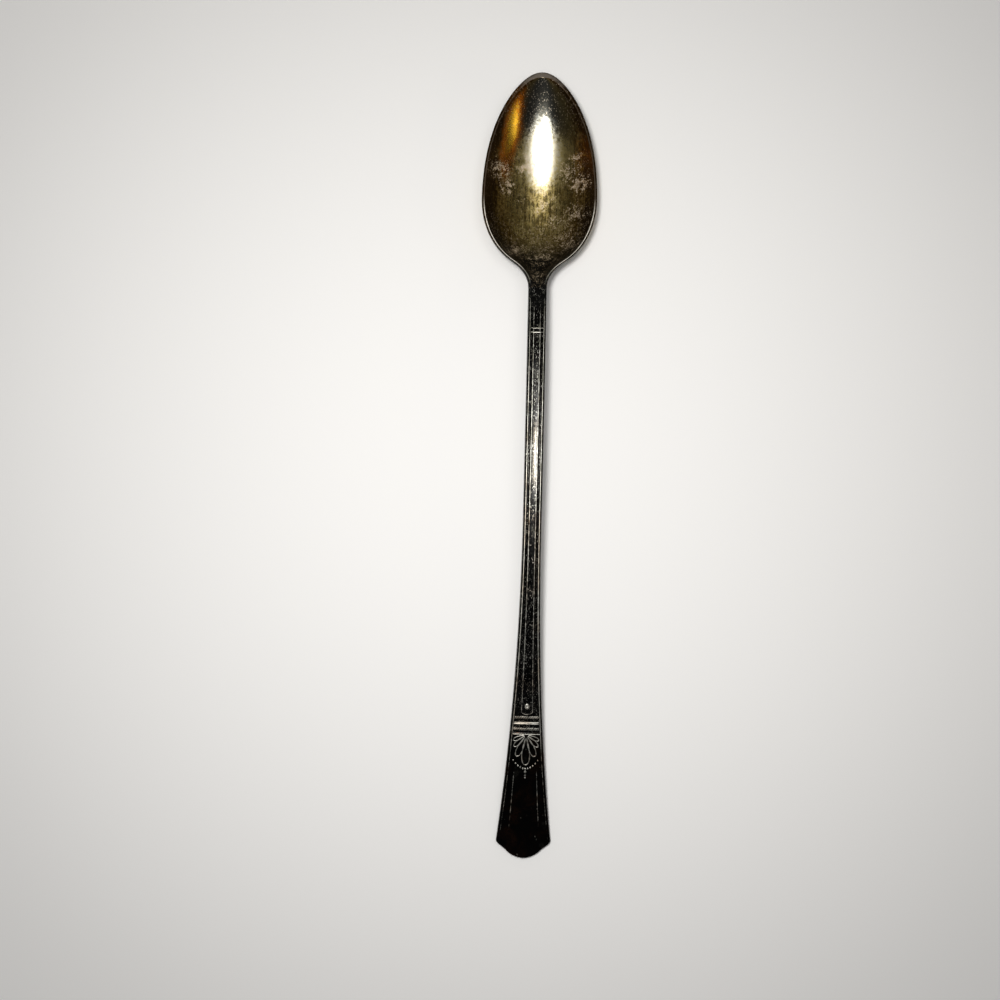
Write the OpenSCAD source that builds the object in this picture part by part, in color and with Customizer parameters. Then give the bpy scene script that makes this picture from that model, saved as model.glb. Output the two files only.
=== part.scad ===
// Long-handled teaspoon, struck from one blank and plated, lying bowl up on a table.
// +Y runs from the handle end to the bowl tip, +X across the spoon, +Z up from the table.
// The blank is one loft of sections across its length, each with an upper and a lower skin.
// Its five named zones take their sections from the same functions and meet face to face.

/* [Bowl] */
// Length from the bowl tip to the start of the neck
bowl_len = 51.5; // [48:0.5:58]
// Widest span across the rim
bowl_w = 27.6; // [22:0.2:34]
// Distance from the bowl tip to its widest section
belly_at = 30; // [26:0.5:34]
// Distance from the bowl tip to its deepest section
deep_at = 33.5; // [28:0.5:37]
// Depth of the hollow below the rim of the widest section
bowl_depth = 8.2; // [6:0.1:10]
// Metal under the hollow at the deepest section
bowl_wall = 1.4; // [1:0.1:2]
// Thickness of the rim
rim_t = 1; // [0.7:0.05:1.3]
// Width of the flat ground along the sides of the rim
rim_land = 0.4; // [0.2:0.05:0.8]
// Width of that flat at the tip, from which it narrows to the sides
tip_land = 1.3; // [0.5:0.1:2]
// Share by which the tip is drawn in from a plain oval
tip_taper = 0.14; // [0:0.02:0.3]
// Height of the rim at the tip above the rim of the widest section
tip_rise = 0.8; // [0:0.1:2]
// Height of the neck above the rim of the widest section
neck_rise = 2.2; // [1:0.1:4]
// Length of the shoulder curve past the oval of the rim
shoulder_len = 4.6; // [3.5:0.1:7]
// Angle to the centre line at which the shoulder leaves the oval, in degrees
shoulder_angle = 56; // [40:1:65]

/* [Handle] */
// Length of the whole spoon
spoon_len = 190; // [170:1:220]
// Width of the stem where it is slenderest
stem_w = 4.5; // [3.6:0.1:6]
// Thickness of the neck
neck_t = 3.3; // [2.6:0.1:4]
// Thickness of the handle end
end_t = 1.8; // [1.4:0.1:2.4]
// Fall of the neck towards the bowl, in degrees
neck_fall = 11; // [6:0.5:16]
// Climb of the handle from its end, in degrees
end_climb = 5; // [2:0.5:8]
// Height of the top of the handle's arch above the table
arch_h = 14.6; // [12:0.2:20]
// Distance from the handle end to the top of the arch
arch_at = 97; // [80:1:115]
// Widest span of the handle end, before its corners are rounded
end_w = 13.6; // [10:0.1:18]
// Distance from the end to that span
corner_at = 4; // [3:0.1:6]
// Rounding of those corners
corner_r = 0.9; // [0.3:0.1:1.5]
// Width of the rounded lobe in the middle of the end
lobe_w = 8.8; // [6:0.1:9.6]
// Length of that lobe
lobe_len = 2.1; // [1.2:0.1:2.8]
// Length of the taper from the widest span to the slender stem
taper_len = 81; // [60:1:100]
// Angle of each edge to the centre line at the widest span, in degrees
taper_angle = 7; // [4:0.5:9]
// Rounding of the long edges
edge_r = 0.3; // [0.1:0.05:0.5]

/* [Struck relief] */
// Length of the plain neck before the crossbars
neck_len = 9.5; // [8:0.5:16]
// Length of each of the two crossbars
crossbar_len = 0.5; // [0.4:0.1:1.5]
// Gap between the crossbars
crossbar_gap = 0.5; // [0.3:0.1:1]
// Height of the crossbars above the panel
crossbar_h = 0.12; // [0:0.02:0.3]
// Width of the border rib along each edge
rib_w = 0.5; // [0.3:0.05:0.7]
// Depth of the channels beside the ribs
channel_d = 0.3; // [0.1:0.05:0.5]
// Width of a channel's sloping side
slope_w = 0.15; // [0.05:0.05:0.25]
// Share of the stem's width that its raised panel takes
panel_share = 0.39; // [0.3:0.01:0.5]
// Share of the handle end's width that its plain field takes
field_share = 0.6; // [0.5:0.01:0.65]
// Distance from the handle end to the collar
collar_at = 32; // [24:0.5:40]
// Number of bands round the collar
collar_bands = 3; // [2:1:4]
// Length of each band
band_len = 0.9; // [0.7:0.1:2]
// Groove before, between and after the bands
band_gap = 0.55; // [0.3:0.05:0.8]
// Height of the bands above the panel
band_h = 0.2; // [0.05:0.05:0.4]
// Diameter of the bead on the panel above the collar
bead_d = 1.3; // [0.8:0.1:1.6]
// Distance from that bead to the collar
bead_gap = 1.8; // [1:0.1:4]
// Height of that bead above the panel
bead_h = 0.4; // [0.2:0.05:0.4]
// Length over which the channels run out at the neck and at the handle end
fade_len = 7; // [4:0.5:10]

/* [Resting places] */
// Depth worn off the underside of the bowl where it rests
bowl_worn = 0.12; // [0.05:0.01:0.2]
// Length of the worn land under the handle end
land_len = 2.6; // [1.5:0.1:4]

/* [Hidden] */
tip_y = spoon_len / 2;
end_y = -spoon_len / 2;
belly_y = tip_y - belly_at;
deep_y = tip_y - deep_at;
neck_y = tip_y - bowl_len;
stem_y = neck_y - neck_len;
collar_y = end_y + collar_at;
collar_len = collar_bands * (band_len + band_gap) + band_gap;
bead_y = collar_y + collar_len + bead_gap;
arch_y = end_y + arch_at;
handle_len = neck_y - end_y;
rim_z = bowl_depth + bowl_wall;
neck_z = rim_z + neck_rise;
end_z = end_t - land_len * tan(end_climb);
// The rim's oval reaches from the belly to where the shoulder takes over
heel_oval = bowl_len - shoulder_len - belly_at;
shoulder_share = tan(shoulder_angle) * heel_oval / norm([bowl_w / 2, tan(shoulder_angle) * heel_oval]);
shoulder_y = belly_y - shoulder_share * heel_oval;
// The lobe is an arc through the end and both of its own corners
lobe_d = (pow(lobe_w / 2, 2) + pow(lobe_len, 2)) / lobe_len;
// Rise of the lobe over the tiny flat at its very end
end_flat = 0.012;
// Turn of the tip's oval, in degrees, at which its last section closes it
tip_turn = 88;
tip_close = sin(tip_turn);
// Powers of the curves across the hollow, the bowl's back and the handle's back
hollow_power = 2.2;
bowl_back_power = 2.3;
handle_back_power = 5;
// Power that lets the hollow run out softly into the neck
runout_power = 1.4;
// Steepness of the hollow's floor at the tip, where 1 is an even slope
tip_floor_slope = 2;
// Share of the thickness that stands upright at the edges of the handle
side_share = 0.55;
// Height of the crown across the handle
crown_h = 0.2;
// Counts of sections and columns
bowl_sections = 22;
heel_sections = 18;
bowl_columns = 22;
neck_sections = 10;
stem_sections = 28;
end_sections = 12;
arc_sections = 7;

function smooth(t) = let (c = min(max(t, 0), 1)) c * c * (3 - 2 * c);
function mix(a, b, t) = a + (b - a) * t;
// Cubic from height p0 and slope m0 at t = 0 to height p1 and slope m1 at t = 1
function cubic(p0, m0, p1, m1, t) =
  p0 * (1 + 2 * t) * pow(1 - t, 2) + m0 * t * pow(1 - t, 2)
  + p1 * t * t * (3 - 2 * t) + m1 * t * t * (t - 1);
function rounded_min(a, b, r) = min(a, b) - r / 4 * pow(max(0, 1 - abs(a - b) / r), 2);

// Outline: half the width at each place along the length
function tip_half(y) =
  let (t = tip_close * (y - belly_y) / belly_at)
  bowl_w / 2 * sqrt(1 - t * t) * (1 - tip_taper * pow(t, 4));
function heel_half(y) = bowl_w / 2 * sqrt(1 - pow((belly_y - y) / heel_oval, 2));
function shoulder_half(y) =
  let (run = shoulder_y - neck_y)
  cubic(stem_w / 2, 0, heel_half(shoulder_y), tan(shoulder_angle) * run, (y - neck_y) / run);
function lobe_half(e) = sqrt(max(e, end_flat) * (lobe_d - e));
function corner_half(e) = lobe_w / 2 + (e - lobe_len) * (end_w - lobe_w) / 2 / (corner_at - lobe_len);
function taper_half(e) =
  let (t = min((e - corner_at) / taper_len, 1))
  cubic(end_w / 2, -tan(taper_angle) * taper_len, stem_w / 2, 0, t);
function handle_half(e) =
  e < lobe_len ? lobe_half(e) : rounded_min(corner_half(e), taper_half(e), corner_r);
function half_width(y) =
  y > belly_y ? tip_half(y)
  : y > shoulder_y ? heel_half(y)
  : y > neck_y ? shoulder_half(y)
  : handle_half(y - end_y);

// Side view: height of the rim and of the handle's top
function rim_height(y) =
  y > belly_y ? rim_z + tip_rise * pow((y - belly_y) / belly_at, 2)
  : let (run = belly_y - neck_y) cubic(neck_z, -tan(neck_fall) * run, rim_z, 0, (y - neck_y) / run);
function handle_height(y) =
  y < arch_y ? cubic(end_z, tan(end_climb) * arch_at, arch_h, 0, (y - end_y) / arch_at)
  : let (run = neck_y - arch_y) cubic(arch_h, 0, neck_z, -tan(neck_fall) * run, (y - arch_y) / run);
function top_line(y) = y > neck_y ? rim_height(y) : handle_height(y);

// Depth of the hollow along the centre line, nothing outside the bowl
function hollow(y) =
  let (t = min((y - deep_y) / (deep_at - tip_land), 1), s = min((deep_y - y) / (deep_y - neck_y), 1))
  (top_line(y) - bowl_wall)
  * (y > deep_y ? 1 - cubic(0, 0, 1, tip_floor_slope, t) : pow(1 - s * s, runout_power));

// Thickness of the metal along the centre line and at the edges
function thickness(y) =
  y > deep_y ? mix(bowl_wall + bowl_worn, rim_t, pow((y - deep_y) / deep_at, 2))
  : y > neck_y ? mix(bowl_wall + bowl_worn, neck_t, smooth((deep_y - y) / (deep_y - neck_y)))
  : mix(end_t, neck_t, (y - end_y) / handle_len);
function side_height(y) =
  y > belly_y ? rim_t
  : y > neck_y ? mix(rim_t, neck_t * side_share, smooth((belly_y - y) / (belly_y - neck_y)))
  : thickness(y) * side_share;
function back_power(y) =
  mix(bowl_back_power, handle_back_power, smooth((belly_y - y) / (belly_y - neck_y)));
function crown(y) = crown_h * smooth((neck_y - y) / fade_len);

// One section: columns of [x, relief] carry both skins, with one point at each long edge
function inner_half(y) = let (w = half_width(y)) w - min(edge_r, w / 3);
// The hollow's own oval ends short of the tip by the wider flat there
function hollow_oval(y) =
  let (t = tip_close * (y - belly_y) / (belly_at - tip_land))
  (bowl_w / 2 - edge_r - rim_land) * sqrt(1 - t * t) * (1 - tip_taper * pow(t, 4));
function hollow_half(y) =
  y > belly_y && y < tip_y - tip_land ? hollow_oval(y) : max(inner_half(y) - rim_land, rim_land / 4);
function top_z(x, y) =
  let (u = x / inner_half(y), v = min(abs(x) / hollow_half(y), 1))
  top_line(y) - hollow(y) * (1 - pow(v, hollow_power)) + crown(y) * (1 - u * u);
function back_z(x, y) =
  let (edge = top_line(y) - side_height(y), middle = top_line(y) - hollow(y) - thickness(y))
  mix(middle, edge, pow(abs(x) / inner_half(y), back_power(y)));
function section(y, columns) =
  let (w = half_width(y), edge_z = top_line(y) - side_height(y) / 2)
  concat(
    [for (c = columns) [c[0], y, top_z(c[0], y) + c[1]]],
    [[w, y, edge_z]],
    [for (i = [len(columns) - 1:-1:0]) [columns[i][0], y, back_z(columns[i][0], y)]],
    [[-w, y, edge_z]]
  );
// Even columns over the hollow and one more at each edge of the rim
function plain_columns(y) = concat(
  [[-inner_half(y), 0]],
  [for (i = [-bowl_columns / 2:bowl_columns / 2]) [hollow_half(y) * i * 2 / bowl_columns, 0]],
  [[inner_half(y), 0]]
);
// Middle panel, a channel to each side of it and a border rib along each edge
function reeded_columns(y, share, raised, sunk) =
  let (
    half = inner_half(y),
    rib = half - min(rib_w, half / 5),
    slope = min(slope_w, half / 16),
    panel = share * half,
    right = [
      [panel / 2, raised],
      [panel, raised],
      [panel + slope, raised - sunk],
      [(panel + rib) / 2, raised - sunk],
      [rib - slope, raised - sunk],
      [rib, 0],
      [half, 0]
    ]
  )
  concat([for (i = [len(right) - 1:-1:0]) [-right[i][0], right[i][1]]], [[0, raised]], right);
function reeded(y, share, raised = 0, sunk = channel_d) = section(y, reeded_columns(y, share, raised, sunk));
// A raised band across the handle, from y down to y - length
function band(y, length, share, height) = [
  reeded(y, share, -channel_d, 0),
  reeded(y - slope_w, share, height, 0),
  reeded(y - length + slope_w, share, height, 0),
  reeded(y - length, share, -channel_d, 0)
];
function flat_list(lists) = [for (l = lists) for (item = l) item];

// Solid skin over sections in order of falling y, closed by the first and the last of them
module loft(sections) {
  m = len(sections[0]);
  n = m / 2 - 1;
  last = (len(sections) - 1) * m;
  skin = [
    for (j = [0:len(sections) - 2])
      for (i = [0:m - 1])
        let (a = j * m + i, b = j * m + (i + 1) % m, c = b + m, d = a + m)
          each [[a, b, c], [a, c, d]]
  ];
  cap = [
    each [[n - 1, n + 1, n], [2 * n, 0, 2 * n + 1]],
    for (i = [0:n - 2])
      let (back = 2 * n - i)
        each [[i, back - 1, i + 1], [i, back, back - 1]]
  ];
  far_cap = [for (f = cap) [last + f[0], last + f[2], last + f[1]]];
  polyhedron(points = flat_list(sections), faces = concat(skin, cap, far_cap));
}

// Everything below the table, which the resting places are worn down to
module worn_away(y, length) {
  width = 2 * max(bowl_w, end_w);
  translate([-width / 2, y - length, -rim_z])
    cube([width, length, rim_z]);
}

module bowl() {
  tip_side = [
    for (i = [bowl_sections:-1:1])
      let (y = belly_y + belly_at * sin(i * tip_turn / bowl_sections) / tip_close)
        section(y, plain_columns(y))
  ];
  heel_side = [
    for (i = [0:heel_sections])
      let (y = mix(belly_y, neck_y, i / heel_sections))
        section(y, plain_columns(y))
  ];
  color([0.45, 0.4, 0.28])
    difference() {
      loft(concat(tip_side, heel_side));
      worn_away(tip_y, bowl_len);
    }
}

module neck() {
  sections = [
    for (i = [0:neck_sections])
      let (y = mix(neck_y, stem_y, i / neck_sections))
        reeded(y, panel_share, 0, channel_d * smooth((neck_y - y) / fade_len))
  ];
  color([0.3, 0.28, 0.25])
    loft(sections);
}

module stem() {
  low_y = collar_y + collar_len;
  second_y = stem_y - slope_w - crossbar_len - crossbar_gap;
  panel_y = second_y - crossbar_len - slope_w;
  panel = [
    for (i = [0:stem_sections])
      reeded(mix(panel_y, low_y, i / stem_sections), panel_share)
  ];
  sections = concat(
    [reeded(stem_y, panel_share)],
    band(stem_y - slope_w, crossbar_len, panel_share, crossbar_h),
    band(second_y, crossbar_len, panel_share, crossbar_h),
    panel
  );
  color([0.22, 0.21, 0.2]) {
    loft(sections);
    translate([0, bead_y, top_z(0, bead_y) + bead_h - bead_d / 2])
      sphere(d = bead_d, $fn = 24);
  }
}

module collar() {
  high_y = collar_y + collar_len;
  pitch = band_len + band_gap;
  bands = [
    for (i = [0:collar_bands - 1])
      band(high_y - band_gap - i * pitch, band_len, mix(panel_share, field_share, i / collar_bands), band_h)
  ];
  color([0.36, 0.34, 0.3])
    loft(concat([reeded(high_y, panel_share)], flat_list(bands), [reeded(collar_y, field_share)]));
}

module handle_end() {
  // Channels run out before the plain end
  function field(y) =
    reeded(y, field_share, 0, channel_d * smooth((y - end_y - corner_at) / fade_len));
  taper = [for (i = [0:end_sections]) field(mix(collar_y, end_y + corner_at + corner_r, i / end_sections))];
  corner = [
    for (i = [1:arc_sections])
      field(end_y + mix(corner_at + corner_r, lobe_len, i / arc_sections))
  ];
  lobe = [
    for (i = [1:arc_sections])
      field(end_y + lobe_len * (1 - sin(i * 90 / arc_sections)))
  ];
  color([0.12, 0.11, 0.1])
    difference() {
      loft(concat(taper, corner, lobe));
      worn_away(collar_y, collar_at);
    }
}

bowl();
neck();
stem();
collar();
handle_end();
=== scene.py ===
from math import cos, hypot, pi, radians, sin, sqrt, tan

import bmesh
import bpy
from bpy.props import FloatProperty, FloatVectorProperty, PointerProperty
from bpy.types import NodeSocket, Operator, Panel, PropertyGroup
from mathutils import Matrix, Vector


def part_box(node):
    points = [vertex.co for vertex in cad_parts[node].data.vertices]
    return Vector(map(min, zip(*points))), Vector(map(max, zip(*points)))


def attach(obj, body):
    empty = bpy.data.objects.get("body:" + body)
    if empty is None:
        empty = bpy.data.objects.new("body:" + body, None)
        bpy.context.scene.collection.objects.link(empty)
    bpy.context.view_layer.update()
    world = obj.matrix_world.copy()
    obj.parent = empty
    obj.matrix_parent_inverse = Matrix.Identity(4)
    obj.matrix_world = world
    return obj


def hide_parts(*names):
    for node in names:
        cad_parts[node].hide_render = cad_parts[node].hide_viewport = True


bl_info = {
    "name": "Long-handled teaspoon",
    "version": (1, 0, 0),
    "blender": (4, 5, 0),
    "location": "View3D > Sidebar > Teaspoon",
    "description": "Models a tarnished silver-plated teaspoon with a long handle, lying on a pale table",
    "category": "Object",
}

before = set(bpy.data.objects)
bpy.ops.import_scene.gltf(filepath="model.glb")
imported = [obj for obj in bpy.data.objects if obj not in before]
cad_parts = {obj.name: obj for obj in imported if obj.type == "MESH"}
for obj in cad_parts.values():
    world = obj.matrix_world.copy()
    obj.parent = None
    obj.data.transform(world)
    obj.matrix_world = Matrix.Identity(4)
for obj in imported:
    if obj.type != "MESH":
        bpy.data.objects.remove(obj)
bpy.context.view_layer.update()        # the zones of one struck blank, all on the body root

MM = 0.001
BOWL_LOW, BOWL_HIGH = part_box("bowl")
NECK_LOW, NECK_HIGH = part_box("neck")
STEM_LOW, STEM_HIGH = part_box("stem")
END_LOW, END_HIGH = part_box("handle_end")


# Properties

def length(name, description, size):
    """A size that a user can set, in metres."""
    return FloatProperty(
        name=name, description=description, default=size, min=0.0, precision=5, unit="LENGTH")


def share(name, description, part):
    """A part of a whole, from 0 to 1."""
    return FloatProperty(
        name=name, description=description, default=part, min=0.0, max=1.0, subtype="FACTOR")


def angle(name, description, degrees):
    """An angle given in degrees."""
    return FloatProperty(name=name, description=description, default=radians(degrees), subtype="ANGLE")


def colour(name, description, red, green, blue):
    """A linear colour."""
    return FloatVectorProperty(
        name=name, description=description, default=(red, green, blue, 1.0),
        size=4, min=0.0, max=1.0, subtype="COLOR")


class TeaspoonBowl(PropertyGroup):
    """Sizes of the bowl"""
    width: length("Width", "Widest span across the rim", BOWL_HIGH.x - BOWL_LOW.x)
    belly_at: length("Belly", "Distance from the tip to the widest section", 30 * MM)
    deep_at: length("Deepest", "Distance from the tip to the deepest section", 33.5 * MM)
    depth: length("Depth", "Depth of the hollow below the rim", 8.2 * MM)
    wall: length("Wall", "Metal under the hollow", 1.4 * MM)
    rim_t: length("Rim", "Thickness of the rim", 1.0 * MM)
    rim_land: length("Rim flat", "Width of the flat along the sides of the rim", 0.4 * MM)
    tip_land: length("Tip flat", "Width of the rim at the tip", 1.3 * MM)
    tip_taper: share("Tip taper", "Share by which the tip is drawn in from a plain oval", 0.14)
    tip_rise: length("Tip rise", "Height of the rim at the tip above the belly's", 0.8 * MM)
    neck_rise: length("Neck rise", "Height of the neck above the belly's rim", 2.2 * MM)
    shoulder_len: length("Shoulder", "Length of the shoulder curve past the oval", 4.6 * MM)
    shoulder_angle: angle("Shoulder angle", "Angle at which the shoulder leaves the oval", 56)
    worn: length("Worn", "Depth worn off the underside where it rests", 0.12 * MM)


class TeaspoonHandle(PropertyGroup):
    """Sizes of the handle"""
    stem_w: length("Stem", "Width of the stem where it is slenderest", NECK_HIGH.x - NECK_LOW.x)
    neck_t: length("Neck", "Thickness of the neck", 3.3 * MM)
    end_t: length("End", "Thickness of the handle end", 1.8 * MM)
    neck_fall: angle("Neck fall", "Fall of the neck towards the bowl", 11)
    end_climb: angle("End climb", "Climb of the handle from its end", 5)
    crown: length("Crown", "Height of the crown across the handle", 0.2 * MM)
    arch_at: length("Arch", "Distance from the handle end to the top of the arch", 97 * MM)
    end_w: length("End width", "Widest span of the handle end", 13.6 * MM)
    corner_at: length("Corners", "Distance from the end to its corners", 4 * MM)
    corner_r: length("Corner rounding", "Rounding of those corners", 0.9 * MM)
    lobe_w: length("Lobe width", "Width of the lobe in the middle of the end", 8.8 * MM)
    lobe_len: length("Lobe", "Length of that lobe", 2.1 * MM)
    taper_len: length("Taper", "Length of the taper from the end to the stem", 81 * MM)
    taper_angle: angle("Taper angle", "Angle of each edge at the end", 7)
    edge_r: length("Edge", "Rounding of the long edges", 0.3 * MM)
    land_len: length("Land", "Length of the worn land under the end", 2.6 * MM)


class TeaspoonRelief(PropertyGroup):
    """Sizes of the struck relief"""
    rib_w: length("Rib", "Width of the border rib along each edge", 0.5 * MM)
    rib_h: length("Rib height", "Height of the crest along the rib's inner side", 0.015 * MM)
    crest_w: length("Crest", "Width of that crest", 0.18 * MM)
    flank_d: length("Flank", "Fall of the rib from its crest to the edge", 0.2 * MM)
    wire_w: length("Wire", "Width of the fine wires that border the panel", 0.28 * MM)
    wire_h: length("Wire height", "Height of those wires", 0.03 * MM)
    dish_d: length("Dish", "Depth of the dished panel between the wires", 0.05 * MM)
    channel_d: length("Channel", "Depth of the channels beside the ribs", 0.3 * MM)
    panel_share: share("Panel", "Share of the stem's width inside the wires", 0.39)
    panel_sag: length("Panel end", "Depth of the curve that ends the panel", 0.5 * MM)
    field_share: share("Field", "Share of the handle end's width inside its wires", 0.6)
    crossbar_len: length("Crossbar", "Length of each of the two crossbars", 0.5 * MM)
    crossbar_gap: length("Crossbar gap", "Gap between the crossbars", 0.5 * MM)
    crossbar_h: length("Crossbar height", "Height of the crossbars", 0.12 * MM)
    band_len: length("Band", "Length of each band of the collar", 0.9 * MM)
    band_gap: length("Band gap", "Groove between the bands", 0.55 * MM)
    band_h: length("Band height", "Height of the bands", 0.2 * MM)
    cord_pitch: length("Cord pitch", "Step of the slanting cord marks on the outer bands", 0.42 * MM)
    cord_d: length("Cord depth", "Depth of those marks", 0.09 * MM)
    bead_w: length("Bead", "Width of the oval bead above the collar", 1.25 * MM)
    bead_len: length("Bead length", "Length of that bead", 1.6 * MM)
    bead_h: length("Bead height", "Height of that bead", 0.4 * MM)
    bead_gap: length("Bead gap", "Distance from that bead to the collar", 1.8 * MM)
    petal_len: length("Palmette", "Length of the palmette's middle petal", 7.6 * MM)
    petal_reach: length("Palmette reach", "Half the width of the oval that its petals fill", 3.1 * MM)
    petal_turn: angle("Petal turn", "Turn from one petal to the next", 22)
    petal_line: length("Petal line", "Half the width of the raised line round a petal", 0.16 * MM)
    ground_d: length("Ground", "Depth of the ground behind the palmette", 0.12 * MM)
    fade_len: length("Fade", "Length over which the channels run out", 7 * MM)


class TeaspoonFinish(PropertyGroup):
    """Colours of the plate"""
    film_dark: colour("Dark film", "Brown film in the shaded parts of the bowl", 0.15, 0.088, 0.013)
    film_light: colour("Light film", "Yellow film where the bowl is less tarnished", 0.44, 0.352, 0.135)
    # The amber and gold films are partly tarnish and partly a painted reflection of a warm lamp, gold where
    # its glint lies
    film_amber: colour("Amber film", "Amber film on one side of the bowl", 0.40, 0.115, 0.006)
    film_gold: colour("Gold film", "Middle of the amber film", 0.66, 0.42, 0.04)
    # The thin and pale films are partly wear and partly painted highlight glow in the middle of the bowl
    film_thin: colour("Thin film", "Film rubbed thin in the middle of the bowl", 0.62, 0.57, 0.44)
    film_pale: colour("Pale film", "Greyer end of the thin film, towards the tip", 0.47, 0.465, 0.41)
    film_grey: colour("Grey film", "Greyer film towards the tip of the bowl", 0.066, 0.069, 0.065)
    # The wall film is partly heavy tarnish and partly painted shade up the bowl's walls
    film_wall: colour("Wall film", "Heavy film up the bowl's sides", 0.020, 0.0105, 0.003)
    bloom: colour("Bloom", "Dull grey bloom in patches of the bowl", 0.50, 0.40, 0.285)
    # The silver along the heel rim is partly wear and partly a painted highlight
    silver: colour("Silver", "Plate rubbed bright along the heel of the bowl", 0.76, 0.71, 0.61)
    rim: colour("Rim", "Dulled plate at the tip of the bowl", 0.15, 0.125, 0.10)
    worn: colour("Worn", "Plate worn grey along the ridges of the handle", 0.50, 0.485, 0.43)
    # The paler film on top of the arch is partly wear and partly a painted highlight
    smoke: colour("Smoke", "Thin film rubbed through on top of the arch", 0.060, 0.054, 0.043)
    dull: colour("Dull", "Less worn ridges of the handle and edges of the shoulders", 0.22, 0.215, 0.175)
    tan: colour("Tan", "Brown film on the worn ridges in places", 0.48, 0.42, 0.34)
    rust: colour("Rust", "Brown film on the less worn ridges in places", 0.20, 0.14, 0.095)
    black: colour("Black", "Heavy tarnish on the handle", 0.009, 0.0085, 0.008)
    brown: colour("Brown", "Red-brown film in the tarnish", 0.036, 0.017, 0.010)
    slate: colour("Slate", "Cool grey film in the tarnish", 0.024, 0.024, 0.023)


class TeaspoonStage(PropertyGroup):
    """The table, the lamps and the camera"""
    paper: colour("Paper", "Colour of the pale table", 0.86, 0.845, 0.82)
    backdrop: colour("Backdrop", "Colour of the far table and of the wall behind it", 0.50, 0.495, 0.485)
    camera_height: length("Camera height", "Height of the camera above the table", 248.5 * MM)
    camera_left: length("Camera left", "Distance of the camera to the left of the spoon", 7.7 * MM)
    camera_low: length("Camera low", "Distance of the camera towards the handle end", 6.9 * MM)
    camera_turn: angle("Camera turn", "Turn of the camera about the vertical", 1.38)
    camera_lens: FloatProperty(name="Lens", description="Focal length on a 36 mm sensor", default=36.1)


# Curves

TINY = 1e-12


def smooth(t):
    """Soft step from 0 to 1."""
    t = min(max(t, 0.0), 1.0)
    return t * t * (3 - 2 * t)


def mix(a, b, t):
    """The value a share t of the way from a to b."""
    return a + (b - a) * t


def cubic(p0, m0, p1, m1, t):
    """Cubic from height p0 and slope m0 at t = 0 to height p1 and slope m1 at t = 1."""
    start = p0 * (1 + 2 * t) * (1 - t) ** 2 + m0 * t * (1 - t) ** 2
    return start + p1 * t * t * (3 - 2 * t) + m1 * t * t * (t - 1)


def rounded_min(a, b, r):
    """The smaller of two values, rounded where they cross."""
    return min(a, b) - r / 4 * max(0.0, 1 - abs(a - b) / r) ** 2


def dome(distance, radius):
    """Round top from 1 at no distance to 0 at the radius."""
    return max(0.0, 1 - (distance / radius) ** 2)


def inset(across, half_squared, half_change):
    """Distance inside the line that lies half to each side of an axis, from half squared and its change."""
    return (half_squared - across * across) / (2 * hypot(across, half_change) + TINY)


def edge_round(distance, radius):
    """Quarter round from 0 at an edge to 1 at the radius inside it."""
    t = min(max(distance / radius, 0.0), 1.0)
    return sqrt(1 - (1 - t) ** 2)


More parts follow.
